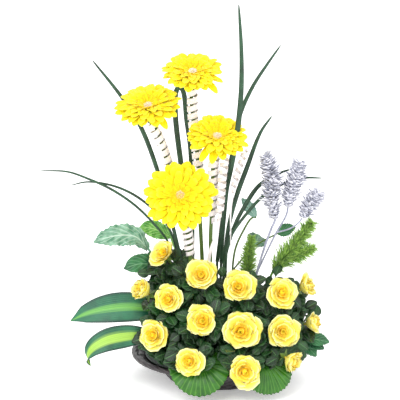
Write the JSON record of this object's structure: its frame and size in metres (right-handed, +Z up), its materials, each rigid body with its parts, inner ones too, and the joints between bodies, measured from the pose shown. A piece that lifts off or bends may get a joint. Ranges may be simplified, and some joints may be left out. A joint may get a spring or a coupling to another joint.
{
  "type": "flower basket arrangement",
  "caption": "Tall fan-shaped arrangement of yellow gerberas and small roses with leaves, silver sprays and curled ribbon, in a shallow woven basket.",
  "frame": {"origin": "centre of the basket's flat underside", "axes": "+Z up from the table through the foam, front of the arrangement towards -Y, +X to the viewer's right"},
  "size_m": [0.4344, 0.2911, 0.5731],
  "materials": {
    "wicker": "dark stained and varnished willow",
    "liner": "thin formed tray",
    "foam": "fine open pores, soaked",
    "gerbera_petal": "velvety petals",
    "rose_petal": "velvety petals",
    "flower_stem": "smooth green skin",
    "ribbon": "pearly white film",
    "strap_blade": "waxy blade",
    "foliage": "waxy leaf",
    "pale_leaf": "matt mottled leaf",
    "bright_leaf": "satin leaf",
    "striped_leaf": "waxy striped leaf",
    "round_leaf": "pleated satin leaf",
    "silver_foliage": "matt silver-grey scales",
    "plume": "soft matt needles"
  },
  "bodies": {
    "root": {"basket": "wicker", "liner": "liner", "foam": "foam", "gerbera_a_head": "gerbera_petal", "gerbera_b_head": "gerbera_petal", "gerbera_c_head": "gerbera_petal", "gerbera_d_head": "gerbera_petal", "gerbera_a_stem": "flower_stem", "gerbera_b_stem": "flower_stem", "gerbera_c_stem": "flower_stem", "gerbera_d_stem": "flower_stem", "gerbera_a_ribbon": "ribbon", "gerbera_b_ribbon": "ribbon", "gerbera_c_ribbon": "ribbon", "gerbera_d_ribbon": "ribbon", "ribbon_coil_middle": "ribbon", "ribbon_coil_right": "ribbon", "rose_01": "rose_petal", "rose_02": "rose_petal", "rose_03": "rose_petal", "rose_04": "rose_petal", "rose_05": "rose_petal", "rose_06": "rose_petal", "rose_07": "rose_petal", "rose_08": "rose_petal", "rose_09": "rose_petal", "rose_10": "rose_petal", "rose_11": "rose_petal", "rose_12": "rose_petal", "rose_13": "rose_petal", "rose_14": "rose_petal", "rose_15": "rose_petal", "rose_stem_upper_left": "foliage", "rose_stem_left": "foliage", "rose_stem_middle": "foliage", "rose_stem_front_left": "foliage", "rose_stem_upper_right": "foliage", "rose_stem_front": "foliage", "rose_stem_right": "foliage", "rose_stem_front_right": "foliage", "strap_tall_a": "strap_blade", "strap_tall_b": "strap_blade", "strap_tall_c": "strap_blade", "strap_left_e": "strap_blade", "strap_arched_pair": "strap_blade", "strap_folded": "strap_blade", "grass_tuft": "strap_blade", "silver_spray": "silver_foliage", "plume_small": "plume", "plume_large": "plume", "pale_leaf": "pale_leaf", "bright_leaf": "bright_leaf", "dark_leaf": "foliage", "striped_upper": "striped_leaf", "striped_lower": "striped_leaf", "round_left": "round_leaf", "round_right": "round_leaf", "blue_leaf": "pale_leaf", "edge_twig": "foliage", "back_spray": "foliage"}
  },
  "joints": []
}
